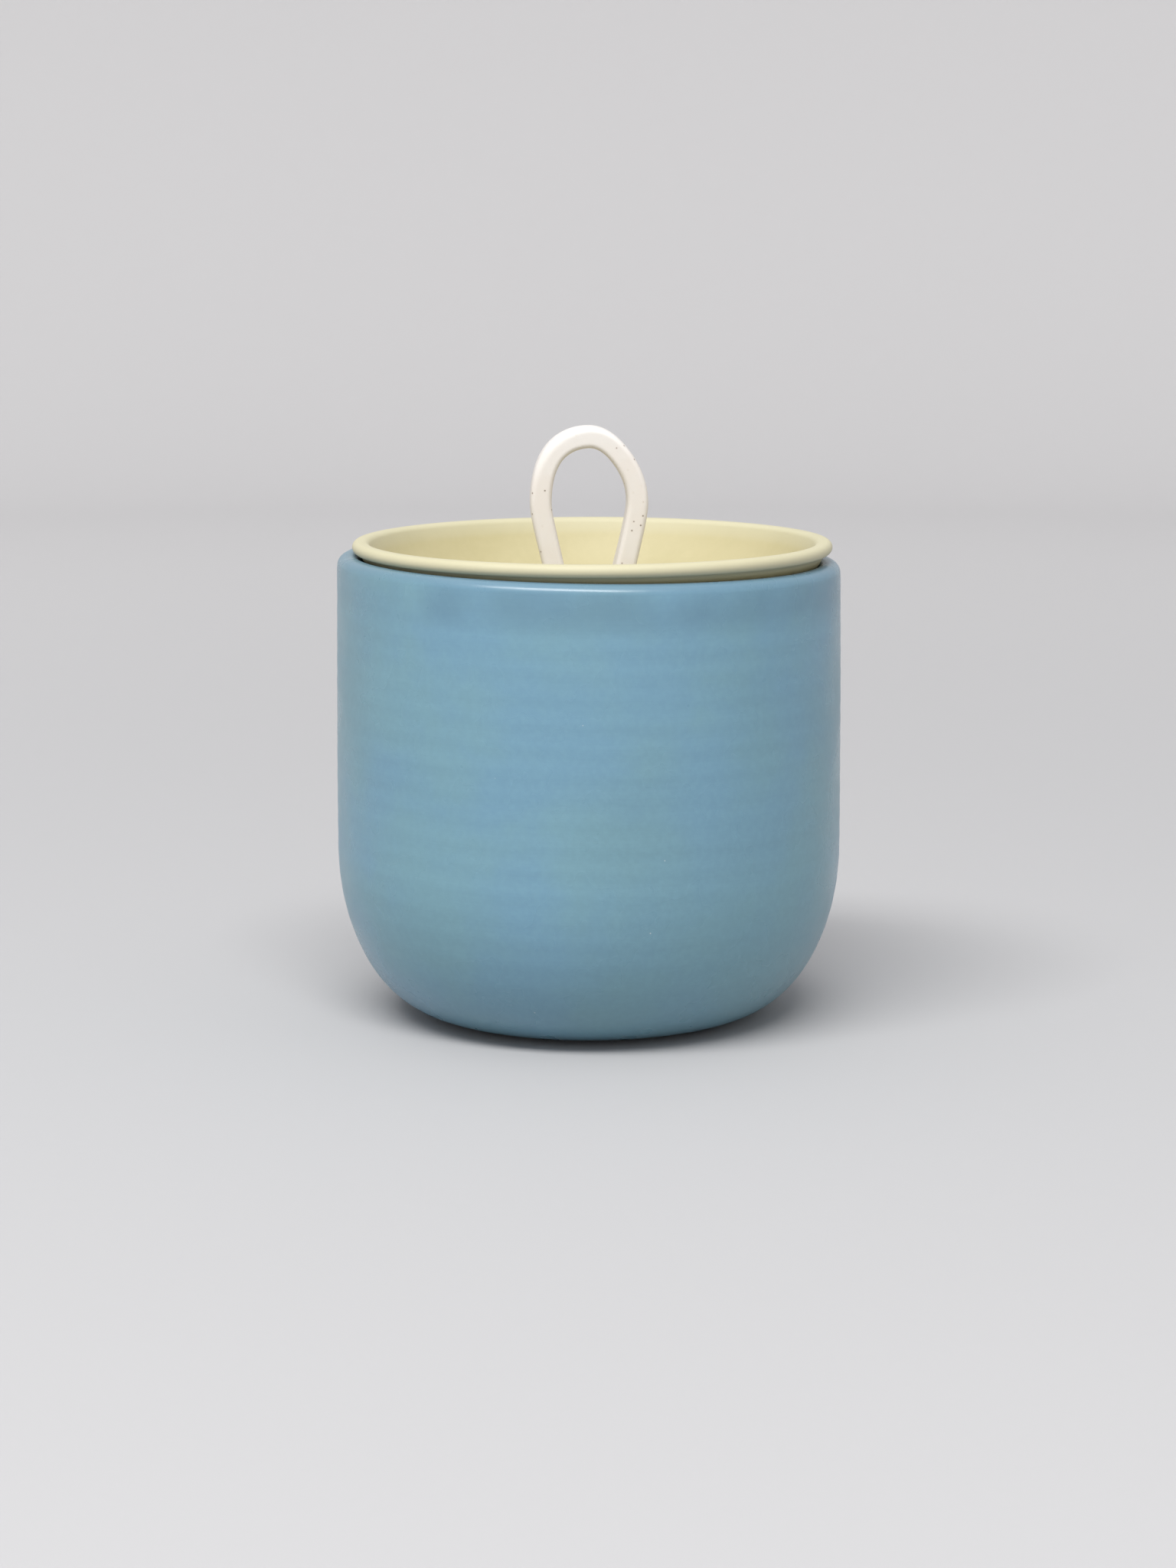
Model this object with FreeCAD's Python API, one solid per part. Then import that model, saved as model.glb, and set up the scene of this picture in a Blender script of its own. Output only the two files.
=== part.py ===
"""Lidded yarn bowl: a glazed pot, a dish-shaped lid that nests in its mouth, and a clay loop on the dish.

Millimetres, +Z up. The origin is the centre of the pot's base, on the table.
Every piece is thick-walled ceramic, so each outline is the section of a wall.
"""
import FreeCAD
import Part
import math
import os

Vector = FreeCAD.Vector

# Pot, outside
FOOT_HEIGHT = 1.0          # the underside stands just clear of the table on a low foot ring
FOOT_RADIUS = 42.0
FOOT_WIDTH = 6.0
FOOT_FLARE = 0.4           # how far the ring's two flanks lean, from the table up
BELLY_RADIUS = 75.2        # widest radius, where the belly meets the side
BELLY_HEIGHT = 50.0        # the belly is a quarter ellipse this tall, above the underside
BELLY_REACH = 30.9         # and this far out from the flat underside
RIM_RADIUS = 74.4          # the side leans in a little towards the rim
RIM_HEIGHT = 136.75        # rim height on the pot's axis
RIM_TILT_DEG = 0.88        # the hand-cut rim is higher on the -X side
RIM_STOCK = 8.0            # the side is turned this much past the rim, for the slanted cut to take off
RIM_BAND = 3.0             # the rim's two edges lie above this depth below its height on the axis
CUTTER_WIDTH = 200.0
CUTTER_HEIGHT = 40.0

# Pot, wall
WALL = 6.5
FLOOR = 7.0
RIM_OUTER_ROUND = 3.1
RIM_INNER_ROUND = 2.2

# Lid dish: a flat floor, a bowl wall of constant thickness and a rolled lip
LID_OFFSET_X = 1.0         # the lid lies towards the +X side of the mouth, just clear of the rim
DISH_FLOOR_TOP = 117.0
DISH_FLOOR_RADIUS = 28.8
DISH_WALL = 3.7
BOWL_ROUND = 40.87         # radius of the bowl curve, on the inside
BOWL_SWEEP_DEG = 65.0      # how steep the bowl curve is where it meets the lip
LIP_ROUND = 1.83           # half the lip's thickness
LIP_REACH = 69.2           # radius of the centre of the lip's outer round
LIP_INNER_ROUND = 2.3
LIP_COVE = 0.4

# Yarn hole, in the dish floor in front of the loop
YARN_HOLE_RADIUS = 4.5
YARN_HOLE_Y = -17.0
YARN_HOLE_ROUND = 1.2
YARN_HOLE_CUT = 20.0       # length of the cutter, half of it above the dish floor

# Loop: a flat strap bent to an arch, with both feet on the dish floor
LOOP_DEPTH = 11.0
LOOP_EDGE_ROUND = 1.3
LOOP_YAW_DEG = 2.5
LOOP_TOP = 175.5
LOOP_STRAP = 6.5
LOOP_HEAD_HEIGHT = 153.1   # height at which the loop is widest
LOOP_HEAD_WIDTH = 17.6     # half width outside, at that height
LOOP_FOOT_WIDTH = 9.7      # half width outside, at the dish floor
LOOP_SHOULDER = 0.5        # the bend is this much fuller on the -X side
LOOP_LEG_DROP = 10.0       # each leg has a guide point this far below the head's widest height
LOOP_LEG_SHARE = 0.79      # and this share of the way out from the foot to the head's width
LOOP_FOOT_INSET = 1.03     # a leaning leg measures this much more across than the strap's thickness

TOLERANCE = 0.01


def ring_solid(edges):
    """The solid of revolution about Z of a closed outline in the XZ plane."""
    face = Part.Face(Part.Wire(edges))
    return face.revolve(Vector(0, 0, 0), Vector(0, 0, 1), 360)


def line(x1, z1, x2, z2):
    """A straight edge in the XZ plane."""
    return Part.LineSegment(Vector(x1, 0, z1), Vector(x2, 0, z2)).toShape()


def arc(x1, z1, x2, z2, x3, z3):
    """A circular edge in the XZ plane through three points."""
    return Part.Arc(Vector(x1, 0, z1), Vector(x2, 0, z2), Vector(x3, 0, z3)).toShape()


def arc_about(cx, cz, radius, start_deg, end_deg):
    """A circular edge in the XZ plane about a centre; 0 degrees points to +X and 90 to +Z."""
    points = []
    for share in (0.0, 0.5, 1.0):
        angle = math.radians(start_deg + share * (end_deg - start_deg))
        points += [cx + radius * math.cos(angle), cz + radius * math.sin(angle)]
    return arc(*points)


def belly_curve(reach, height):
    """A quarter ellipse from the floor, at the edge of the flat base, up to the side of the pot."""
    centre = Vector(BELLY_RADIUS - BELLY_REACH, 0, FOOT_HEIGHT + BELLY_HEIGHT)
    ellipse = Part.Ellipse(centre - Vector(0, 0, height), centre + Vector(reach, 0, 0), centre)
    return Part.ArcOfEllipse(ellipse, 0, math.pi / 2).toShape()


def rim_edges(shape, lowest):
    """The circular edges of a shape that lie wholly above a height."""
    return [edge for edge in shape.Edges if edge.BoundBox.ZMin > lowest]


def width(edge):
    """How far an edge reaches along X."""
    return edge.BoundBox.XLength


def near(first, second):
    """Whether two lengths are the same, within the tolerance."""
    return abs(first - second) < TOLERANCE


def make_pot():
    """A thick bowl on a small foot ring, cut off by a slightly tilted plane and rounded at the rim."""
    top = RIM_HEIGHT + RIM_STOCK
    base_radius = BELLY_RADIUS - BELLY_REACH
    foot_inner = FOOT_RADIUS - FOOT_WIDTH
    belly_top = FOOT_HEIGHT + BELLY_HEIGHT
    inside_floor = FOOT_HEIGHT + FLOOR
    lean = (BELLY_RADIUS - RIM_RADIUS) / (RIM_HEIGHT - belly_top)
    top_radius = BELLY_RADIUS - lean * (top - belly_top)
    pot = ring_solid([
        line(0, FOOT_HEIGHT, foot_inner - FOOT_FLARE, FOOT_HEIGHT),
        line(foot_inner - FOOT_FLARE, FOOT_HEIGHT, foot_inner, 0),
        line(foot_inner, 0, FOOT_RADIUS, 0),
        line(FOOT_RADIUS, 0, FOOT_RADIUS + FOOT_FLARE, FOOT_HEIGHT),
        line(FOOT_RADIUS + FOOT_FLARE, FOOT_HEIGHT, base_radius, FOOT_HEIGHT),
        belly_curve(BELLY_REACH, BELLY_HEIGHT),
        line(BELLY_RADIUS, belly_top, top_radius, top),
        line(top_radius, top, top_radius - WALL, top),
        line(top_radius - WALL, top, BELLY_RADIUS - WALL, belly_top),
        belly_curve(BELLY_REACH - WALL, BELLY_HEIGHT - FLOOR),
        line(base_radius, inside_floor, 0, inside_floor),
        line(0, inside_floor, 0, FOOT_HEIGHT),
    ])
    corner = Vector(-CUTTER_WIDTH / 2, -CUTTER_WIDTH / 2, 0)
    waste = Part.makeBox(CUTTER_WIDTH, CUTTER_WIDTH, CUTTER_HEIGHT, corner)
    waste.rotate(Vector(0, 0, 0), Vector(0, 1, 0), RIM_TILT_DEG)
    waste.translate(Vector(0, 0, RIM_HEIGHT))
    pot = pot.cut(waste)
    outer = max(rim_edges(pot, RIM_HEIGHT - RIM_BAND), key=width)
    pot = pot.makeFillet(RIM_OUTER_ROUND, [outer])
    inner = min(rim_edges(pot, RIM_HEIGHT - RIM_BAND), key=width)
    return pot.makeFillet(RIM_INNER_ROUND, [inner])


def make_lid_dish():
    """A round-bottomed dish of even thickness with a rolled lip, and a hole in its floor for the yarn."""
    centre_x = DISH_FLOOR_RADIUS
    centre_z = DISH_FLOOR_TOP + BOWL_ROUND
    sweep = math.radians(BOWL_SWEEP_DEG)
    lip_z = centre_z - BOWL_ROUND * math.cos(sweep)
    lip_x = centre_x + BOWL_ROUND * math.sin(sweep)
    crest_x = lip_x + LIP_INNER_ROUND * math.sin(sweep)
    crest_z = lip_z + LIP_INNER_ROUND * (1 - math.cos(sweep))
    under_z = crest_z - 2 * LIP_ROUND
    outside = BOWL_ROUND + DISH_WALL
    under_x = centre_x + math.sqrt(outside ** 2 - (centre_z - under_z) ** 2)
    under_deg = math.degrees(math.asin((under_x - centre_x) / outside)) - 90
    dish = ring_solid([
        line(0, DISH_FLOOR_TOP - DISH_WALL, centre_x, DISH_FLOOR_TOP - DISH_WALL),
        arc_about(centre_x, centre_z, outside, -90, under_deg),
        line(under_x, under_z, LIP_REACH, under_z),
        arc_about(LIP_REACH, crest_z - LIP_ROUND, LIP_ROUND, -90, 90),
        line(LIP_REACH, crest_z, crest_x, crest_z),
        arc_about(crest_x, crest_z - LIP_INNER_ROUND, LIP_INNER_ROUND, 90, 90 + BOWL_SWEEP_DEG),
        arc_about(centre_x, centre_z, BOWL_ROUND, BOWL_SWEEP_DEG - 90, -90),
        line(centre_x, DISH_FLOOR_TOP, 0, DISH_FLOOR_TOP),
        line(0, DISH_FLOOR_TOP, 0, DISH_FLOOR_TOP - DISH_WALL),
    ])
    cove = [
        edge for edge in dish.Edges
        if near(edge.BoundBox.ZMin, under_z) and near(edge.BoundBox.XMax, under_x)
    ]
    dish = dish.makeFillet(LIP_COVE, cove[:1])
    hole_base = Vector(0, YARN_HOLE_Y, DISH_FLOOR_TOP - YARN_HOLE_CUT / 2)
    hole = Part.makeCylinder(YARN_HOLE_RADIUS, YARN_HOLE_CUT, hole_base)
    dish = dish.cut(hole)
    mouth = [
        edge for edge in dish.Edges
        if near(width(edge), 2 * YARN_HOLE_RADIUS) and near(edge.BoundBox.ZLength, 0)
        and edge.BoundBox.ZMax < DISH_FLOOR_TOP + TOLERANCE
    ]
    dish = dish.makeFillet(YARN_HOLE_ROUND, mouth)
    dish.translate(Vector(LID_OFFSET_X, 0, 0))
    return dish


def loop_outline(inset):
    """Points up one leg, over the bend and down the other leg, at a depth into the strap."""
    half_width = LOOP_HEAD_WIDTH - inset
    rise = LOOP_TOP - inset - LOOP_HEAD_HEIGHT
    leg_top = LOOP_HEAD_HEIGHT - LOOP_LEG_DROP
    foot = LOOP_FOOT_WIDTH - inset * LOOP_FOOT_INSET
    leg = foot + (half_width - foot) * LOOP_LEG_SHARE
    points = [Vector(-foot, 0, DISH_FLOOR_TOP), Vector(-leg, 0, leg_top)]
    for degrees in (180, 135, 90, 45, 0):
        angle = math.radians(degrees)
        fuller = LOOP_SHOULDER * math.sin(2 * angle) ** 2
        x = half_width * math.cos(angle) - fuller
        z = LOOP_HEAD_HEIGHT + rise * math.sin(angle)
        points.append(Vector(x, 0, z + (fuller if degrees > 90 else -fuller)))
    points += [Vector(leg, 0, leg_top), Vector(foot, 0, DISH_FLOOR_TOP)]
    return points


def spline_edge(points):
    """A smooth edge through the points."""
    curve = Part.BSplineCurve()
    curve.interpolate(points)
    return curve.toShape()


def make_loop_handle():
    """The strap: the area between two arches, given its depth and softened along its four long edges."""
    outer = loop_outline(0.0)
    inner = loop_outline(LOOP_STRAP)
    face = Part.Face(Part.Wire([
        spline_edge(outer),
        Part.LineSegment(outer[-1], inner[-1]).toShape(),
        spline_edge(inner),
        Part.LineSegment(inner[0], outer[0]).toShape(),
    ]))
    face.translate(Vector(0, -LOOP_DEPTH / 2, 0))
    strap = face.extrude(Vector(0, LOOP_DEPTH, 0))
    long_edges = [edge for edge in strap.Edges if edge.BoundBox.ZMax > LOOP_HEAD_HEIGHT]
    strap = strap.makeFillet(LOOP_EDGE_ROUND, long_edges)
    strap.rotate(Vector(0, 0, 0), Vector(0, 0, 1), LOOP_YAW_DEG)
    return strap


def main():
    os.makedirs("parts", exist_ok=True)
    nodes = {
        "pot_body": make_pot(),
        "lid_dish": make_lid_dish(),
        "loop_handle": make_loop_handle(),
    }
    for name, shape in nodes.items():
        shape.exportStep(f"parts/{name}.step")
        box = shape.BoundBox
        print(name, shape.ShapeType, shape.isValid(), len(shape.Solids), round(shape.Volume),
              [round(v, 2) for v in (box.XMin, box.XMax, box.YMin, box.YMax, box.ZMin, box.ZMax)])


main()
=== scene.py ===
"""Lidded yarn bowl: the glazed surfaces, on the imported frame, with a plain studio round them.

Run as a script. Every piece is computed as a grid of points in metres, in the frame's own axes:
+Z up, the front towards -Y, and the origin at the centre of the pot's foot, on the table.
"""

import math

import bpy
import numpy as np
from bpy.props import FloatProperty, FloatVectorProperty, IntProperty, PointerProperty
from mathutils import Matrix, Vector


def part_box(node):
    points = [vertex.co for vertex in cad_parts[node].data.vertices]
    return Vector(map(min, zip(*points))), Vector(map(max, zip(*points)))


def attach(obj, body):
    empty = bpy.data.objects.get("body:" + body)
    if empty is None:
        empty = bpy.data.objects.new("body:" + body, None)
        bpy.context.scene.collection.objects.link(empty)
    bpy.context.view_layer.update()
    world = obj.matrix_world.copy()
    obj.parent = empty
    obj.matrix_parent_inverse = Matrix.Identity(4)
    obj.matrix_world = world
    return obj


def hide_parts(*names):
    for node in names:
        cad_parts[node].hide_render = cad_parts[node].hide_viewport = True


bl_info = {
    "name": "Lidded yarn bowl",
    "version": (1, 0, 0),
    "blender": (4, 5, 0),
    "location": "View3D > Sidebar > Yarn bowl",
    "description": "Makes the glazed pot, its dish-shaped lid, the clay loop and a small studio",
    "category": "Add Mesh",
}

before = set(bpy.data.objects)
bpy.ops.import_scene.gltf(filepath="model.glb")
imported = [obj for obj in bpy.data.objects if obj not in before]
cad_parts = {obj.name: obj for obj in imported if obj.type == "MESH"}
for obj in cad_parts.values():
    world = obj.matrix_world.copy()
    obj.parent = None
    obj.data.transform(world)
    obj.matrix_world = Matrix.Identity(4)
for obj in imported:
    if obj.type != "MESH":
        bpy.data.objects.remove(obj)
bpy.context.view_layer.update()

MM = 0.001
POT_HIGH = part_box("pot_body")[1]
LID_LOW, LID_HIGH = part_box("lid_dish")
LOOP_LOW, LOOP_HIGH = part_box("loop_handle")

# Pot
AXIS_GAP = 0.5 * MM            # a turned outline starts and ends this near the axis, at a fan of faces
RIDGES_LOW = (12.0 * MM, 28.0 * MM)      # the throwing ridges fade in and out over these heights
RIDGES_HIGH = (124.0 * MM, 131.0 * MM)
BAND_BELOW_RIM = (16.0 * MM, 8.0 * MM)   # the darker band fades in over these depths below the rim
RIM_GLAZE_BELOW = (3.4 * MM, 0.6 * MM)   # and gives way to the rim's darker glaze, partly painted shade of the lid's lip, over these

# Lid
LIP_WOBBLE = 0.12 * MM         # how far the hand-made lip wanders in radius
LIP_DIP = 0.08 * MM            # and in height
POOL_HEIGHT = 14.0 * MM        # the glaze pools up to this height above the dish's floor
LIP_SHADE_WIDTH = 9.0 * MM           # painted shade: the deeper glaze colour is also laid over this width under the lip

# Loop
CROWN = 0.18 * MM              # how far the strap's faces rise towards their middle
UNEVEN_HIGH = 0.14 * MM        # how unevenly the strap is rolled, in thickness
UNEVEN_DEEP = 0.12 * MM        # and in width
FOOT_SWELL_HIGH = 0.9 * MM     # how far the feet swell where they are luted on, in thickness
FOOT_SWELL_DEEP = 0.7 * MM     # and in width
FOOT_SWELL_REACH = 1.4 * MM
SHOULDER_REACH = 9.0 * MM      # the softened stretch of the front edge is about this long

# Stage
BACKDROP_CENTRE = 0.01
PALING_START = 0.25            # the floor starts to pale towards the wall this far out
AIM = (0.0, 0.0, 0.09)
OVERHEAD_PLACE = (-0.15, 0.05, 1.55)
OVERHEAD_SIZE = (1.5, 1.5)
KEY_PLACE = (-0.42, -1.45, 2.5)
KEY_SIZE = (2.6, 0.8)


def length(name, description, default):
    """A size in metres that the panel shows with its unit."""
    return FloatProperty(name=name, description=description, default=default, min=0.0,
                         unit="LENGTH", subtype="DISTANCE", precision=5)


def colour(name, description, default):
    """A linear colour."""
    return FloatVectorProperty(name=name, description=description, default=default, size=3,
                               min=0.0, max=1.0, subtype="COLOR")


def count(name, description, default):
    """A number of grid points."""
    return IntProperty(name=name, description=description, default=default, min=8, max=400)


def share(name, description, default, highest=1.0):
    """A plain factor."""
    return FloatProperty(name=name, description=description, default=default, min=0.0,
                         max=highest, subtype="FACTOR")


class YarnBowlPot(bpy.types.PropertyGroup):
    """Sizes and glaze of the pot."""

    around: count("Around", "Grid points round the pot", 256)
    radius: length("Belly radius", "Widest radius", min(POT_HIGH[0], POT_HIGH[1]))
    rim_radius: length("Rim radius", "Outside radius at the rim", 74.4 * MM)
    rim_height: length("Rim height", "Height of the rim on the axis", 136.75 * MM)
    belly_height: length("Belly height", "Height of the curved belly above the underside", 50.0 * MM)
    belly_reach: length("Belly reach", "How far the belly curve runs out from the underside", 30.9 * MM)
    wall: length("Wall", "Thickness of the wall", 6.5 * MM)
    floor: length("Floor", "Thickness of the floor", 7.0 * MM)
    foot_height: length("Foot height", "Height of the foot ring", 1.0 * MM)
    foot_radius: length("Foot radius", "Outside radius of the foot ring", 42.0 * MM)
    foot_width: length("Foot width", "Width of the foot ring", 6.0 * MM)
    foot_flare: length("Foot flare", "Lean of the ring's flanks", 0.4 * MM)
    rim_outer_round: length("Rim outer round", "Radius of the rim's outer edge", 3.1 * MM)
    rim_inner_round: length("Rim inner round", "Radius of the rim's inner edge", 2.2 * MM)
    rim_tilt: FloatProperty(name="Rim tilt", description="Slant of the rim, higher at -X",
                            default=math.radians(0.88), subtype="ANGLE")
    ridge_depth: length("Ridge depth", "Depth of the throwing ridges outside", 0.10 * MM)
    ridge_pitch: length("Ridge pitch", "Rise of the throwing ridges in one turn", 7.0 * MM)
    blue: colour("Blue", "The glaze where it runs bluer", (0.137, 0.271, 0.370))
    teal: colour("Teal", "The glaze where it runs greener", (0.149, 0.286, 0.346))
    # partly painted shade: this darker rim colour also stands for the shade that the lid's lip casts on
    # the rim
    edge_glaze_and_painted_light: colour("Rim glaze", "The darker glaze over the rim", (0.100, 0.170, 0.230))
    clay: colour("Bare clay", "The unglazed foot", (0.480, 0.400, 0.320))
    pinhole: colour("Pinhole", "The pale pinholes in the glaze", (0.560, 0.600, 0.600))
    roughness: share("Roughness", "Roughness of the satin glaze", 0.29)


class YarnBowlLid(bpy.types.PropertyGroup):
    """Sizes and glaze of the dish-shaped lid."""

    around: count("Around", "Grid points round the dish", 240)
    centre_x: FloatProperty(name="Centre X", description="Where the dish lies in the mouth",
                            default=(LID_LOW[0] + LID_HIGH[0]) / 2, unit="LENGTH", precision=5)
    floor_top: length("Floor top", "Height of the dish's floor", 117.0 * MM)
    floor_radius: length("Floor radius", "Radius of the dish's flat floor", 28.8 * MM)
    wall: length("Wall", "Thickness of the dish", 3.7 * MM)
    bowl_round: length("Bowl round", "Radius of the bowl curve inside", 40.87 * MM)
    bowl_sweep: FloatProperty(name="Bowl sweep", description="How steep the bowl gets at the lip",
                              default=math.radians(65.0), subtype="ANGLE")
    lip_round: length("Lip round", "Half the lip's thickness", 1.83 * MM)
    lip_reach: length("Lip reach", "Radius of the centre of the lip's outer round", 69.2 * MM)
    lip_inner_round: length("Lip inner round", "Radius where the bowl meets the lip", 2.3 * MM)
    hole_radius: length("Hole radius", "Radius of the yarn hole", 4.5 * MM)
    hole_front: length("Hole distance", "How far in front of the centre the yarn hole is", 17.0 * MM)
    hole_round: length("Hole round", "Radius of the yarn hole's edges", 1.2 * MM)
    glaze: colour("Glaze", "The butter-yellow glaze", (0.449, 0.403, 0.232))
    # also painted shade: this darker glaze is laid under the lip, where the gap over the pot's rim is
    # dark with shade
    deep: colour("Deep glaze", "The glaze where it pools", (0.360, 0.318, 0.158))
    # partly painted highlight: this paler lip colour is thinner glaze and also stands for the highlight
    # on the lip
    edge_glaze_and_painted_light: colour("Thin glaze", "The glaze where it thins over the lip", (0.533, 0.515, 0.380))
    roughness: share("Roughness", "Roughness of the satin glaze", 0.58)


class YarnBowlLoop(bpy.types.PropertyGroup):
    """Sizes and clay of the loop."""

    depth: length("Depth", "Width of the strap from front to back", 11.0 * MM)
    strap: length("Strap", "Thickness of the strap", 6.5 * MM)
    top: length("Top", "Height of the top of the loop", LOOP_HIGH[2] - 0.03 * MM)
    head_height: length("Head height", "Height at which the loop is widest", 153.1 * MM)
    head_width: length("Head width", "Half the loop's widest width", 17.5 * MM)
    foot_width: length("Foot width", "Half the distance between the feet's centres", 6.3 * MM)
    shoulder: length("Shoulder", "How much fuller the bend is on the -X side", 0.5 * MM)
    edge_round: length("Edge round", "Radius of the strap's long edges", 1.3 * MM)
    worn_round: length("Soft edge", "Radius of the softest stretch of the front edge", 2.6 * MM)
    splay: length("Splay", "How far a leg leans out between its foot and the head", 8.8 * MM)
    sink: length("Sink", "How far the feet go into the dish's floor", 0.3 * MM)
    yaw: FloatProperty(name="Yaw", description="Turn of the loop on the dish",
                       default=math.radians(2.5), subtype="ANGLE")
    twist: FloatProperty(name="Leg twist", description="Extra turn of the +X leg towards its foot",
                         default=math.radians(4.0), subtype="ANGLE")
    clay: colour("Clay", "The warm off-white clay", (0.681, 0.643, 0.606))
    pale: colour("Pale clay", "The clay where it is rubbed pale", (0.704, 0.689, 0.670))
    speck: colour("Speck", "The iron specks", (0.120, 0.085, 0.060))
    halo: colour("Halo", "The stain round each speck", (0.450, 0.360, 0.270))
    roughness: share("Roughness", "Roughness of the clay", 0.46)


class YarnBowlStage(bpy.types.PropertyGroup):
    """The studio: a pale round backdrop, soft lights and the camera."""

    floor_radius: length("Floor radius", "Radius of the flat floor", 1.6)
    cove_radius: length("Cove radius", "Radius of the curve up to the wall", 0.6)
    wall_height: length("Wall height", "Height of the wall", 1.2)
    floor_tone: colour("Floor", "Colour of the floor", (0.415, 0.415, 0.425))
    wall_tone: colour("Wall", "Colour of the wall", (0.560, 0.555, 0.562))
    sky: share("Sky", "Strength of the even light from all round", 0.64, 10.0)
    overhead: FloatProperty(name="Overhead", description="Power of the large light above",
                            default=2.0, min=0.0)
    key: FloatProperty(name="Key", description="Power of the wide light at the front",
                       default=100.0, min=0.0)
    camera_x: FloatProperty(name="Camera X", description="Camera to the right of the axis",
                            default=-0.26 * MM, unit="LENGTH")
    camera_distance: length("Camera distance", "Camera in front of the axis", 1028.9 * MM)
    camera_height: length("Camera height", "Camera above the floor", 247.9 * MM)
    camera_pitch: FloatProperty(name="Camera pitch", description="How far the camera looks down",
                                default=math.radians(9.9), subtype="ANGLE")
    camera_lens: FloatProperty(name="Lens", description="Focal length in millimetres",
                               default=80.0, min=1.0)


def stretch(start, end, steps):
    """Points on a straight run, as r and z: start + t (end - start), t from 0 up to but not 1."""
    t = np.arange(steps)[:, None] / steps
    return np.array(start) + t * (np.array(end) - np.array(start))


def sweep(centre, radii, first, last, steps):
    """Points on an elliptical arc: centre + (a cos t, b sin t), t from first up to but not last."""
    t = first + (last - first) * np.arange(steps) / steps
    return np.stack([centre[0] + radii[0] * np.cos(t), centre[1] + radii[1] * np.sin(t)], axis=1)


def soften(corners, steps):
    """An outline of straight runs with each corner rounded.

    A corner is (r, z, radius). With a turn of angle A, the rounding starts radius * tan(A / 2) before
    the corner and ends as far after it, and a quadratic blend of the corner and those two ends joins
    them: (1 - t)^2 start + 2 t (1 - t) corner + t^2 end. The first and last corners stay sharp.
    """
    places = np.array([corner[:2] for corner in corners])
    blend = np.linspace(0.0, 1.0, steps)[:, None]
    parts = [places[:1]]
    for index in range(1, len(corners) - 1):
        here = places[index]
        back = places[index - 1] - here
        ahead = places[index + 1] - here
        back_length, ahead_length = np.linalg.norm(back), np.linalg.norm(ahead)
        turn = math.pi - math.acos(np.clip(back @ ahead / (back_length * ahead_length), -1.0, 1.0))
        run = min(corners[index][2] * math.tan(turn / 2), 0.45 * back_length, 0.45 * ahead_length)
        start = here + back / back_length * run
        end = here + ahead / ahead_length * run
        parts.append((1 - blend) ** 2 * start + 2 * blend * (1 - blend) * here + blend ** 2 * end)
    return np.concatenate(parts)


def waves(around, along, seed, terms=5):
    """A smooth field from -1 to 1 over a closed turn: the mean of sines of whole numbers of turns.

    Term k is sin(n_k * around + m_k * along + p_k), with n_k from 1 to 6 and m_k and p_k drawn once.
    """
    draw = np.random.default_rng(seed)
    turns = draw.integers(1, 7, terms)
    rates = draw.uniform(40.0, 160.0, terms)
    phases = draw.uniform(0.0, 2 * math.pi, terms)
    angle = turns[:, None, None] * around + rates[:, None, None] * along + phases[:, None, None]
    return np.sin(angle).mean(axis=0)


def ease(value, low, high):
    """0 below low, 1 above high, and 3 s^2 - 2 s^3 between them."""
    s = np.clip((value - low) / (high - low), 0.0, 1.0)
    return s * s * (3.0 - 2.0 * s)


def skin(name, points, attributes, wrapped=False, capped=(0, -1)):
    """The mesh object over a grid of points, rows along a path and columns round it.

    Columns always wrap, and rows do if wrapped. Each capped row gets a fan to its own mean point.
    The rows run so that column direction x row direction points outwards.
    """
    rows, columns = points.shape[:2]
    vertices = points.reshape(-1, 3)
    row = np.arange(rows if wrapped else rows - 1)[:, None]
    column = np.arange(columns)[None, :]
    above = (row + 1) % rows
    beside = (column + 1) % columns
    quads = np.stack([row * columns + column, row * columns + beside,
                      above * columns + beside, above * columns + column], axis=-1).reshape(-1, 4)
    faces = quads.tolist()
    values = {key: field.reshape(-1) for key, field in attributes.items()}
    first = np.arange(columns)
    following = (first + 1) % columns
    for end in capped:
        pole = np.full(columns, len(vertices))
        start = (end % rows) * columns
        ring = (following, first) if end == 0 else (first, following)
        faces += np.stack([pole, start + ring[0], start + ring[1]], axis=1).tolist()
        vertices = np.concatenate([vertices, points[end].mean(axis=0)[None, :]])
        for key, field in attributes.items():
            values[key] = np.append(values[key], field[end].mean())
    mesh = bpy.data.meshes.new(name)
    mesh.from_pydata(vertices.tolist(), [], faces)
    mesh.polygons.foreach_set("use_smooth", np.ones(len(mesh.polygons), dtype=bool))
    for key, field in values.items():
        mesh.attributes.new(key, "FLOAT", "POINT").data.foreach_set("value", field.astype(np.float32))
    mesh.update()
    if mesh.validate():
        raise RuntimeError(f"{name} has faulty faces")
    piece = bpy.data.objects.new(name, mesh)
    bpy.context.scene.collection.objects.link(piece)
    return piece


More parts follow.
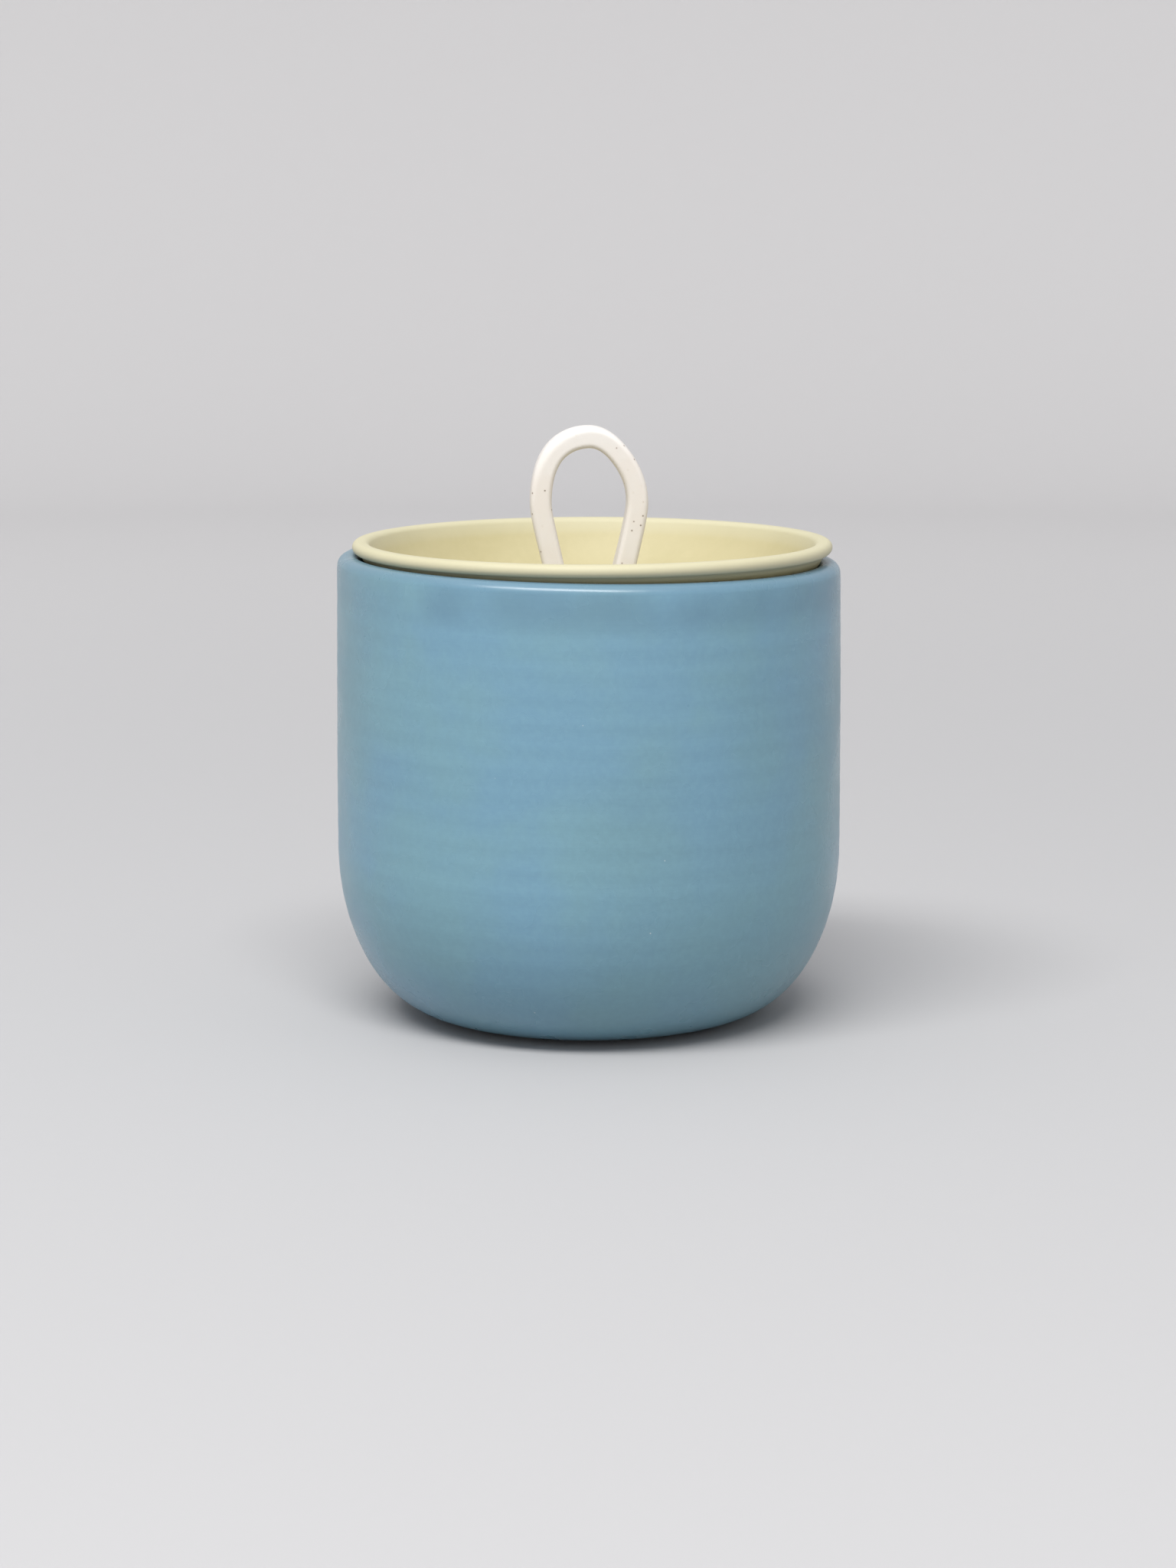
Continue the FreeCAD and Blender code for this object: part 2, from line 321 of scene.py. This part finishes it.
def pot_grid(pot):
    """The pot's surface: an outline in r and z turned about +Z.

    The outline starts on the axis under the pot, goes over the foot ring, up a quarter ellipse and
    the side, r = R - (R - R_rim) s^2 with s from 0 to 1, over the rim, and down inside. Above the
    belly z is stretched by x tan(tilt) s, which slants the rim. Ridges only take clay away:
    depth (1 + sin(2 pi z / pitch + angle)) / 2, and a slow wave of the same size. The fields say
    where the rim's darker glaze is, partly painted shade of the lid's lip
    (edge_glaze_and_painted_light), the darker band under it (band) and the unglazed foot (bare).
    """
    base = pot.radius - pot.belly_reach
    belly_top = pot.foot_height + pot.belly_height
    foot_inner = pot.foot_radius - pot.foot_width
    rim_start = pot.rim_height - pot.rim_outer_round
    inner_start = pot.rim_height - pot.rim_inner_round
    inner_rim = pot.rim_radius - pot.wall
    quarter = math.pi / 2
    s = (np.arange(96) / 96)[:, None]
    side_z = belly_top + s * (rim_start - belly_top)
    lean = ((side_z - belly_top) / (pot.rim_height - belly_top)) ** 2
    side = np.concatenate([pot.radius - (pot.radius - pot.rim_radius) * lean, side_z], axis=1)
    edge = pot.rim_radius - pot.rim_outer_round
    inner_edge = inner_rim + pot.rim_inner_round
    outer = np.concatenate([
        soften([
            (AXIS_GAP, pot.foot_height, 0.0),
            (foot_inner - pot.foot_flare, pot.foot_height, 0.3 * MM),
            (foot_inner, 0.0, 0.4 * MM),
            (pot.foot_radius, 0.0, 0.4 * MM),
            (pot.foot_radius + pot.foot_flare, pot.foot_height, 0.3 * MM),
            (base, pot.foot_height, 0.0),
        ], 6),
        sweep((base, belly_top), (pot.belly_reach, pot.belly_height), -quarter, 0.0, 56),
        side,
        sweep((edge, rim_start), (pot.rim_outer_round, pot.rim_outer_round), 0.0, quarter, 12),
    ])
    inner = np.concatenate([
        stretch((edge, pot.rim_height), (inner_edge, pot.rim_height), 3),
        sweep((inner_edge, inner_start), (pot.rim_inner_round, pot.rim_inner_round),
              quarter, 2 * quarter, 10),
        stretch((inner_rim, inner_start), (pot.radius - pot.wall, belly_top), 28),
        sweep((base, belly_top), (pot.belly_reach - pot.wall, pot.belly_height - pot.floor),
              0.0, -quarter, 32),
        stretch((base, pot.foot_height + pot.floor), (AXIS_GAP, pot.foot_height + pot.floor), 10),
    ])
    outline = np.concatenate([outer, inner])
    outside = (np.arange(len(outline)) < len(outer))[:, None]
    r, z = outline[:, :1], outline[:, 1:]
    turn = (2 * math.pi * np.arange(pot.around) / pot.around)[None, :]
    height_share = np.clip((z - belly_top) / (pot.rim_height - belly_top), 0.0, 1.0)
    ridged = ease(z, *RIDGES_LOW) * (1.0 - ease(z, *RIDGES_HIGH))
    ridges = (1.0 + np.sin(2 * math.pi * z / pot.ridge_pitch + turn)) / 2
    slow = (1.0 + waves(turn, z, seed=11)) / 2
    inward = pot.ridge_depth * ridged * (0.5 * ridges + slow)
    radius = r - inward
    x = radius * np.cos(turn)
    y = radius * np.sin(turn)
    height = z - math.tan(pot.rim_tilt) * x * height_share
    # partly painted shade: the rim's darker glaze covers the rim top and outer round, where the lid's
    # lip shades it
    rim_share = ease(z, pot.rim_height - RIM_GLAZE_BELOW[0], pot.rim_height - RIM_GLAZE_BELOW[1])
    band = ease(z, pot.rim_height - BAND_BELOW_RIM[0], pot.rim_height - BAND_BELOW_RIM[1])
    band = band * (1.0 - rim_share) * outside
    bare = (1.0 - ease(z, 0.7 * MM, 1.0 * MM)) * (r < pot.foot_radius + 1.0 * MM)
    full = np.ones_like(x)
    fields = {"edge_glaze_and_painted_light": rim_share * full, "band": band * full, "bare": bare * full}
    return np.stack([x, y, height * full], axis=-1), fields


def lid_grid(lid):
    """The dish's surface: a closed outline turned about an axis that slides to the yarn hole.

    Each outline point is (r, z, f) and turns about x = centre, y = -hole distance * f. f is 0 on the
    bowl and the lip and 1 in the hole, and on the flat floor, above and below, it goes from one to
    the other in step with r, which fills the space between the two circles with no fold. The fields
    say where the glaze is thin on the lip, partly a painted highlight (edge_glaze_and_painted_light),
    and where the glaze pools in the bowl, plus painted shade under the lip (pool_and_lip_shade).
    """
    bowl_centre = (lid.floor_radius, lid.floor_top + lid.bowl_round)
    angle = lid.bowl_sweep
    quarter = math.pi / 2
    meet_r = bowl_centre[0] + lid.bowl_round * math.sin(angle)
    meet_z = bowl_centre[1] - lid.bowl_round * math.cos(angle)
    crest_r = meet_r + lid.lip_inner_round * math.sin(angle)
    crest_z = meet_z + lid.lip_inner_round * (1.0 - math.cos(angle))
    under_z = crest_z - 2 * lid.lip_round
    outside = lid.bowl_round + lid.wall
    under_r = bowl_centre[0] + math.sqrt(outside ** 2 - (bowl_centre[1] - under_z) ** 2)
    under_angle = math.asin((under_r - bowl_centre[0]) / outside) - quarter
    lip_z = crest_z - lid.lip_round
    floor_under = lid.floor_top - lid.wall
    wide = lid.hole_radius + lid.hole_round
    across = (lid.hole_round, lid.hole_round)
    below = np.concatenate([
        sweep(bowl_centre, (outside, outside), -quarter, under_angle, 44),
        stretch((under_r, under_z), (lid.lip_reach, under_z), 3),
    ])
    inside = sweep(bowl_centre, (lid.bowl_round, lid.bowl_round), angle - quarter, -quarter, 60)
    fixed = np.concatenate([
        below,
        sweep((lid.lip_reach, lip_z), (lid.lip_round, lid.lip_round), -quarter, quarter, 18),
        stretch((lid.lip_reach, crest_z), (crest_r, crest_z), 3),
        sweep((crest_r, crest_z - lid.lip_inner_round), (lid.lip_inner_round, lid.lip_inner_round),
              quarter, quarter + angle, 10),
        inside,
    ])
    floor_in = stretch((lid.floor_radius, lid.floor_top), (wide, lid.floor_top), 16)
    hole = np.concatenate([
        sweep((wide, lid.floor_top - lid.hole_round), across, quarter, 2 * quarter, 8),
        stretch((lid.hole_radius, lid.floor_top - lid.hole_round),
                (lid.hole_radius, floor_under + lid.hole_round), 3),
        sweep((wide, floor_under + lid.hole_round), across, 2 * quarter, 3 * quarter, 8),
    ])
    floor_out = stretch((wide, floor_under), (lid.floor_radius, floor_under), 16)
    sliding = np.arange(16) / 16
    slide = np.concatenate([np.zeros(len(fixed)), sliding, np.ones(len(hole)), 1.0 - sliding])[:, None]
    outline = np.concatenate([fixed, floor_in, hole, floor_out])
    r, z = outline[:, :1], outline[:, 1:]
    turn = (2 * math.pi * np.arange(lid.around) / lid.around)[None, :]
    # this share also carries the paler lip glaze, which is partly a painted highlight
    lip_share = ease(r, meet_r - 3.0 * MM, meet_r + 1.0 * MM) * ease(z, under_z - 2.0 * MM, under_z)
    index = np.arange(len(outline))[:, None]
    upper = (index >= len(fixed) - len(inside)) & (index < len(fixed) + len(floor_in))
    ripple = (1.0 + waves(turn, z, seed=23)) / 2
    radius = r - LIP_WOBBLE * lip_share * ripple
    x = lid.centre_x + radius * np.cos(turn)
    y = radius * np.sin(turn) - lid.hole_front * slide
    full = np.ones_like(x)
    height = z * full - LIP_DIP * lip_share * (1.0 + waves(turn, z, seed=29)) / 2
    pool_and_lip_shade = (1.0 - ease(z, lid.floor_top, lid.floor_top + POOL_HEIGHT)) * upper
    # painted shade: the underside next to the lip gets the darker glaze, standing for the dark gap over
    # the pot's rim
    painted_lip_shade = (index <= len(below)) * ease(r, lid.lip_reach - LIP_SHADE_WIDTH, lid.lip_reach)
    pool_and_lip_shade = np.maximum(pool_and_lip_shade, painted_lip_shade)
    return np.stack([x, y, height], axis=-1), {"edge_glaze_and_painted_light": lip_share * full, "pool_and_lip_shade": pool_and_lip_shade * full}


def loop_grid(loop):
    """The strap's surface: a rounded rectangle carried along an arch.

    The arch is the middle of the strap. Its head is an ellipse, and each leg, with q the share of
    the way down, is x = foot + splay (1 - q) - c exp(-q / w), where c and w make the leg meet the
    head at its widest point and run straight down there. A section has (y, n) axes: y is +Y and n
    points away from the opening. Each corner is a quarter circle with its own radius, which varies
    along the arch.
    """
    half = loop.strap / 2
    head_x = loop.head_width - half
    rise = loop.top - half - loop.head_height
    foot_z = LOOP_LOW[2] - loop.sink
    drop = loop.head_height - foot_z
    extra = loop.foot_width + loop.splay - head_x
    rate = extra / loop.splay
    q = np.linspace(0.0, 1.0, 64)
    leg_x = loop.foot_width + loop.splay * (1.0 - q) - extra * np.exp(-q / rate)
    leg_z = loop.head_height - q * drop
    theta = np.linspace(math.pi, 0.0, 97)[1:-1]
    fuller = loop.shoulder * np.sin(2 * theta) ** 2
    lifted = np.where(theta > math.pi / 2, fuller, -fuller)
    head = np.stack([
        head_x * np.cos(theta) - fuller,
        loop.head_height + rise * np.sin(theta) + lifted,
    ], axis=1)
    path = np.concatenate([
        np.stack([-leg_x, leg_z], axis=1)[::-1],
        head,
        np.stack([leg_x, leg_z], axis=1),
    ])
    tangent = np.gradient(path, axis=0)
    tangent /= np.linalg.norm(tangent, axis=1, keepdims=True)
    outward = np.stack([-tangent[:, 1], tangent[:, 0]], axis=1)
    step = np.linalg.norm(np.diff(path, axis=0), axis=1)
    along = np.concatenate([[0.0], np.cumsum(step)])[:, None]
    shoulder_x, shoulder_z = -0.6 * head_x, loop.head_height + 0.75 * rise
    away = (path[:, :1] - shoulder_x) ** 2 + (path[:, 1:] - shoulder_z) ** 2
    near = np.exp(-away / SHOULDER_REACH ** 2)
    plain = np.full_like(near, loop.edge_round)
    soft = loop.edge_round + (loop.worn_round - loop.edge_round) * near
    near_foot = np.exp(-(path[:, 1:] - foot_z) / FOOT_SWELL_REACH)
    uneven = (1.0 + np.sin(along / (17.0 * MM) + 0.8) * np.sin(along / (7.3 * MM))) / 2
    high = half - UNEVEN_HIGH * uneven + FOOT_SWELL_HIGH * near_foot
    deep = loop.depth / 2 - UNEVEN_DEEP * (1.0 - uneven) + FOOT_SWELL_DEEP * near_foot
    corners = [(1.0, 1.0, plain), (-1.0, 1.0, soft), (-1.0, -1.0, plain), (1.0, -1.0, plain)]
    ys, ns = [], []
    for index, (side_y, side_n, rounding) in enumerate(corners):
        t = index * math.pi / 2 + np.linspace(0.0, math.pi / 2, 8)[None, :]
        ys.append(side_y * (deep - rounding) + rounding * np.cos(t))
        ns.append(side_n * (high - rounding) + rounding * np.sin(t))
    flats_y, flats_n = [], []
    between = np.linspace(0.0, 1.0, 8)[None, 1:-1]
    for index in range(4):
        after = (index + 1) % 4
        flats_y.append(ys[index][:, -1:] + between * (ys[after][:, :1] - ys[index][:, -1:]))
        flats_n.append(ns[index][:, -1:] + between * (ns[after][:, :1] - ns[index][:, -1:]))
    y = np.concatenate([part for pair in zip(ys, flats_y) for part in pair], axis=1)
    n = np.concatenate([part for pair in zip(ns, flats_n) for part in pair], axis=1)
    crown = CROWN * (1.0 - np.clip(np.abs(y) / deep, 0.0, 1.0) ** 2)
    n = n - CROWN * np.sign(n) + crown * np.sign(n) * (np.abs(n) / high) ** 4
    right = ease(path[:, :1], 0.0, 4.0 * MM) * (1.0 - ease(path[:, 1:], foot_z, loop.head_height))
    psi = loop.twist * right
    turned_n = n * np.cos(psi) - y * np.sin(psi)
    turned_y = n * np.sin(psi) + y * np.cos(psi)
    x = path[:, :1] + turned_n * outward[:, :1]
    z = np.maximum(path[:, 1:] + turned_n * outward[:, 1:], foot_z)
    yawed_x = x * math.cos(loop.yaw) - turned_y * math.sin(loop.yaw)
    yawed_y = x * math.sin(loop.yaw) + turned_y * math.cos(loop.yaw)
    rubbed = ease(z, loop.top - 9.0 * MM, loop.top - 1.0 * MM)
    return np.stack([yawed_x, yawed_y, z], axis=-1), {"rubbed": rubbed}


class Finish:
    """A material being built from nodes, with short ways to add the ones that this bowl needs."""

    def __init__(self, name):
        self.material = bpy.data.materials.new(name)
        self.material.use_nodes = True
        self.nodes = self.material.node_tree.nodes
        self.links = self.material.node_tree.links
        self.shader = self.nodes["Principled BSDF"]
        self.place = self.nodes.new("ShaderNodeTexCoord").outputs["Object"]

    def scaled(self, scale):
        """Object coordinates scaled by (x, y, z)."""
        node = self.nodes.new("ShaderNodeMapping")
        node.inputs["Scale"].default_value = scale
        self.links.new(self.place, node.inputs["Vector"])
        return node.outputs["Vector"]

    def noise(self, scale, detail=3.0, roughness=0.5, place=None):
        """A cloudy pattern from 0 to 1, with so many cells in a metre."""
        node = self.nodes.new("ShaderNodeTexNoise")
        node.inputs["Scale"].default_value = scale
        node.inputs["Detail"].default_value = detail
        node.inputs["Roughness"].default_value = roughness
        self.links.new(place or self.place, node.inputs["Vector"])
        return node.outputs["Fac"]

    def spots(self, scale, radius, softness):
        """1 inside small balls scattered through space, radius and softness in metres."""
        node = self.nodes.new("ShaderNodeTexVoronoi")
        node.inputs["Scale"].default_value = scale
        self.links.new(self.place, node.inputs["Vector"])
        return self.between(node.outputs["Distance"], scale * (radius + softness), scale * radius)

    def between(self, value, low, high):
        """The value mapped so that low becomes 0 and high becomes 1, smoothly and clamped."""
        node = self.nodes.new("ShaderNodeMapRange")
        node.interpolation_type = "SMOOTHSTEP"
        node.inputs["From Min"].default_value = low
        node.inputs["From Max"].default_value = high
        self.links.new(value, node.inputs["Value"])
        return node.outputs["Result"]

    def attribute(self, name):
        """A field stored on the piece's points."""
        node = self.nodes.new("ShaderNodeAttribute")
        node.attribute_name = name
        return node.outputs["Fac"]

    def times(self, first, second):
        """The product of two values, either of which may be a plain number."""
        node = self.nodes.new("ShaderNodeMath")
        node.operation = "MULTIPLY"
        for value, socket in zip((first, second), node.inputs):
            self.feed(value, socket)
        return node.outputs["Value"]

    def feed(self, value, socket):
        """Links an output, or sets a plain number or colour."""
        if isinstance(value, bpy.types.NodeSocket):
            self.links.new(value, socket)
        elif hasattr(value, "__len__"):
            socket.default_value = (*value, 1.0)
        else:
            socket.default_value = value

    def mixed(self, share_of_second, first, second):
        """Two colours mixed, through the node's colour sockets, which follow those for numbers."""
        node = self.nodes.new("ShaderNodeMix")
        node.data_type = "RGBA"
        self.feed(share_of_second, node.inputs["Factor"])
        self.feed(first, node.inputs[6])
        self.feed(second, node.inputs[7])
        return node.outputs[2]

    def bump(self, height, distance, strength, under=None):
        """A bump of that height in metres, over another one if given."""
        node = self.nodes.new("ShaderNodeBump")
        node.inputs["Distance"].default_value = distance
        node.inputs["Strength"].default_value = strength
        self.links.new(height, node.inputs["Height"])
        if under is not None:
            self.links.new(under, node.inputs["Normal"])
        return node.outputs["Normal"]

    def done(self, base, roughness, normal):
        """Wires the shader and returns the material."""
        self.feed(base, self.shader.inputs["Base Color"])
        self.feed(roughness, self.shader.inputs["Roughness"])
        self.links.new(normal, self.shader.inputs["Normal"])
        return self.material


def pot_glaze(pot):
    """Satin blue-grey glaze.

    Cloudy blue and teal with broad deeper patches, faint level bands and brush strokes, a fine mottle,
    a darker band under the rim, a darker rim that is partly painted shade of the lid's lip, a few
    pinholes and an unglazed foot.
    """
    finish = Finish("pot_glaze_satin")
    cloud = finish.between(finish.noise(26.0, 4.0, 0.55), 0.36, 0.66)
    bands = finish.between(finish.noise(28.0, 3.0, 0.5, finish.scaled((0.35, 0.35, 7.0))), 0.38, 0.64)
    patches = finish.between(finish.noise(11.0, 2.0, 0.45), 0.42, 0.60)
    mottle = finish.between(finish.noise(520.0, 3.0, 0.6), 0.35, 0.70)
    body = finish.mixed(cloud, tuple(pot.blue), tuple(pot.teal))
    body = finish.mixed(finish.times(bands, 0.10), body, tuple(value * 0.80 for value in pot.blue))
    body = finish.mixed(finish.times(patches, 0.45), body, tuple(value * 0.84 for value in pot.teal))
    body = finish.mixed(finish.times(mottle, 0.16), body, tuple(value * 1.25 for value in pot.teal))
    brushed = finish.noise(60.0, 3.0, 0.6, finish.scaled((0.5, 0.5, 22.0)))
    strokes = finish.between(brushed, 0.40, 0.66)
    body = finish.mixed(finish.times(strokes, 0.05), body, tuple(value * 0.74 for value in pot.blue))
    edge = finish.between(finish.noise(34.0, 3.0, 0.55), 0.30, 0.62)
    band = finish.times(finish.times(finish.attribute("band"), edge), 0.55)
    body = finish.mixed(band, body, tuple(value * 0.72 for value in pot.blue))
    # partly painted shade: the rim is darkened where the lid's lip shades it
    body = finish.mixed(finish.times(finish.attribute("edge_glaze_and_painted_light"), 0.55), body, tuple(pot.edge_glaze_and_painted_light))
    pinholes = finish.spots(80.0, 0.16 * MM, 0.10 * MM)
    body = finish.mixed(finish.times(pinholes, 0.60), body, tuple(pot.pinhole))
    bare = finish.attribute("bare")
    grit = finish.mixed(finish.noise(900.0, 2.0), tuple(pot.clay), tuple(v * 0.78 for v in pot.clay))
    body = finish.mixed(bare, body, grit)
    worn = finish.between(finish.noise(60.0, 3.0), 0.3, 0.7)
    roughness = finish.nodes.new("ShaderNodeMapRange")
    roughness.inputs["To Min"].default_value = pot.roughness - 0.04
    roughness.inputs["To Max"].default_value = pot.roughness + 0.05
    finish.links.new(worn, roughness.inputs["Value"])
    stroke_bump = finish.bump(brushed, 0.05 * MM, 0.30)
    skin_bump = finish.bump(finish.noise(300.0, 2.0), 0.06 * MM, 0.35, stroke_bump)
    fine_bump = finish.bump(finish.noise(1400.0, 2.0), 0.03 * MM, 0.35, skin_bump)
    return finish.done(body, roughness.outputs["Result"], fine_bump)


def lid_glaze(lid):
    """Satin butter-yellow glaze: paler over the lip (thinner glaze, partly painted highlight), deeper
    where it pools in the bowl, and darker under the lip as painted shade.
    """
    finish = Finish("lid_glaze_butter")
    cloud = finish.between(finish.noise(38.0, 4.0, 0.55), 0.34, 0.68)
    mottle = finish.between(finish.noise(430.0, 3.0, 0.6), 0.35, 0.70)
    body = finish.mixed(finish.times(cloud, 0.35), tuple(lid.glaze), tuple(lid.deep))
    body = finish.mixed(finish.times(mottle, 0.14), body, tuple(min(1.0, v * 1.12) for v in lid.glaze))
    # deeper glaze where it pools in the bowl, and painted shade under the lip
    body = finish.mixed(finish.times(finish.attribute("pool_and_lip_shade"), 0.60), body, tuple(lid.deep))
    # partly painted highlight: the lip is paled where the glaze thins and where light falls on it
    body = finish.mixed(finish.times(finish.attribute("edge_glaze_and_painted_light"), 0.60), body, tuple(lid.edge_glaze_and_painted_light))
    normal = finish.bump(finish.noise(340.0, 2.0), 0.06 * MM, 0.35)
    return finish.done(body, lid.roughness, normal)


def speckled_clay(loop):
    """Warm off-white clay with sparse iron specks, each with a faint halo."""
    finish = Finish("speckled_clay_satin")
    cloud = finish.between(finish.noise(90.0, 4.0, 0.6), 0.35, 0.68)
    body = finish.mixed(finish.times(cloud, 0.45), tuple(loop.clay), tuple(loop.pale))
    body = finish.mixed(finish.times(finish.attribute("rubbed"), 0.5), body, tuple(loop.pale))
    halo = finish.spots(300.0, 0.24 * MM, 0.40 * MM)
    body = finish.mixed(finish.times(halo, 0.16), body, tuple(loop.halo))
    specks = finish.spots(300.0, 0.20 * MM, 0.10 * MM)
    body = finish.mixed(finish.times(specks, 0.75), body, tuple(loop.speck))
    coarse = finish.bump(finish.noise(220.0, 3.0), 0.10 * MM, 0.40)
    fine = finish.bump(finish.noise(1500.0, 2.0), 0.04 * MM, 0.40, coarse)
    return finish.done(body, loop.roughness, fine)


def settle(piece, material, body, node):
    """Gives a piece its material, body, CAD node and material slot."""
    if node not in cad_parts:
        raise RuntimeError(f"the frame has no node {node}")
    piece.data.materials.append(material)
    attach(piece, body)
    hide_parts(node)


def area_light(name, place, size, power, tint):
    """A rectangular soft light at a place, aimed at the bowl; size is its level width and its depth."""
    data = bpy.data.lights.new(name, "AREA")
    data.shape = "RECTANGLE"
    data.size = size[0]
    data.size_y = size[1]
    data.energy = power
    data.color = tint
    light = bpy.data.objects.new(name, data)
    light.location = place
    light.rotation_euler = (Vector(AIM) - Vector(place)).to_track_quat("-Z", "Y").to_euler()
    bpy.context.scene.collection.objects.link(light)


def backdrop_grid(stage):
    """The backdrop: a flat floor, a quarter circle and an upright wall, turned about +Z.

    The rows run from the top of the wall to the middle of the floor, so the faces look inwards.
    """
    reach, bend = stage.floor_radius, stage.cove_radius
    outline = np.concatenate([
        stretch((BACKDROP_CENTRE, 0.0), (reach, 0.0), 24),
        sweep((reach, bend), (bend, bend), -math.pi / 2, 0.0, 32),
        stretch((reach + bend, bend), (reach + bend, stage.wall_height), 4),
    ])
    turn = (2 * math.pi * np.arange(192) / 192)[None, :]
    r, z = outline[::-1, :1], outline[::-1, 1:]
    return np.stack([r * np.cos(turn), r * np.sin(turn), z * np.ones_like(turn)], axis=-1)


class YARNBOWL_OT_pot(bpy.types.Operator):
    """Make the glazed pot"""

    bl_idname = "yarnbowl.pot"
    bl_label = "Pot"

    def execute(self, context):
        pot = context.scene.yarn_bowl_pot
        points, fields = pot_grid(pot)
        piece = skin("pot_shell", points, fields)
        settle(piece, pot_glaze(pot), "pot", "pot_body")
        return {"FINISHED"}


class YARNBOWL_OT_lid(bpy.types.Operator):
    """Make the dish-shaped lid"""

    bl_idname = "yarnbowl.lid"
    bl_label = "Lid"

    def execute(self, context):
        lid = context.scene.yarn_bowl_lid
        points, fields = lid_grid(lid)
        piece = skin("lid_shell", points, fields, wrapped=True, capped=())
        settle(piece, lid_glaze(lid), "lid", "lid_dish")
        return {"FINISHED"}


class YARNBOWL_OT_loop(bpy.types.Operator):
    """Make the clay loop"""

    bl_idname = "yarnbowl.loop"
    bl_label = "Loop"

    def execute(self, context):
        loop = context.scene.yarn_bowl_loop
        points, fields = loop_grid(loop)
        piece = skin("loop_strap", points, fields)
        settle(piece, speckled_clay(loop), "lid", "loop_handle")
        return {"FINISHED"}


class YARNBOWL_OT_stage(bpy.types.Operator):
    """Make the backdrop, the lights and the camera"""

    bl_idname = "yarnbowl.stage"
    bl_label = "Stage"

    def execute(self, context):
        stage = context.scene.yarn_bowl_stage
        backdrop = skin("backdrop", backdrop_grid(stage), {}, capped=(-1,))
        paper = Finish("backdrop_paper")
        reach = paper.nodes.new("ShaderNodeVectorMath")
        reach.operation = "LENGTH"
        paper.links.new(paper.place, reach.inputs[0])
        outward = paper.between(reach.outputs["Value"], PALING_START, stage.floor_radius)
        shade = paper.mixed(outward, tuple(stage.floor_tone), tuple(stage.wall_tone))
        shade = paper.mixed(paper.times(paper.noise(3.0, 2.0), 0.03), shade, tuple(stage.floor_tone))
        bump = paper.bump(paper.noise(800.0, 2.0), 0.02 * MM, 0.2)
        backdrop.data.materials.append(paper.done(shade, 0.85, bump))

        world = bpy.data.worlds.new("studio")
        world.use_nodes = True
        sky = world.node_tree.nodes["Background"]
        sky.inputs["Color"].default_value = (0.98, 0.98, 1.0, 1.0)
        sky.inputs["Strength"].default_value = stage.sky
        context.scene.world = world
        area_light("overhead", OVERHEAD_PLACE, OVERHEAD_SIZE, stage.overhead, (1.0, 1.0, 1.0))
        area_light("key", KEY_PLACE, KEY_SIZE, stage.key, (1.0, 0.99, 0.97))

        data = bpy.data.cameras.new("camera")
        data.lens = stage.camera_lens
        data.sensor_width = 36.0
        camera = bpy.data.objects.new("camera", data)
        camera.location = (stage.camera_x, -stage.camera_distance, stage.camera_height)
        camera.rotation_euler = (math.pi / 2 - stage.camera_pitch, 0.0, 0.0)
        context.scene.collection.objects.link(camera)
        context.scene.camera = camera
        context.scene.view_settings.view_transform = "Standard"
        return {"FINISHED"}


class YARNBOWL_PT_sidebar(bpy.types.Panel):
    """Lists the pieces of the bowl"""

    bl_idname = "YARNBOWL_PT_sidebar"
    bl_label = "Yarn bowl"
    bl_space_type = "VIEW_3D"
    bl_region_type = "UI"
    bl_category = "Yarn bowl"

    def draw(self, context):
        for operator in OPERATORS:
            self.layout.operator(operator.bl_idname)


SETTINGS = {
    "yarn_bowl_pot": YarnBowlPot,
    "yarn_bowl_lid": YarnBowlLid,
    "yarn_bowl_loop": YarnBowlLoop,
    "yarn_bowl_stage": YarnBowlStage,
}
OPERATORS = (YARNBOWL_OT_pot, YARNBOWL_OT_lid, YARNBOWL_OT_loop, YARNBOWL_OT_stage)


def register():
    for group in SETTINGS.values():
        bpy.utils.register_class(group)
    for name, group in SETTINGS.items():
        setattr(bpy.types.Scene, name, PointerProperty(type=group))
    for operator in OPERATORS:
        bpy.utils.register_class(operator)
    bpy.utils.register_class(YARNBOWL_PT_sidebar)


def unregister():
    bpy.utils.unregister_class(YARNBOWL_PT_sidebar)
    for operator in reversed(OPERATORS):
        bpy.utils.unregister_class(operator)
    for name, group in SETTINGS.items():
        delattr(bpy.types.Scene, name)
        bpy.utils.unregister_class(group)


def main():
    register()
    bpy.ops.yarnbowl.pot()
    bpy.ops.yarnbowl.lid()
    bpy.ops.yarnbowl.loop()
    bpy.ops.yarnbowl.stage()


if __name__ == "__main__":
    main()
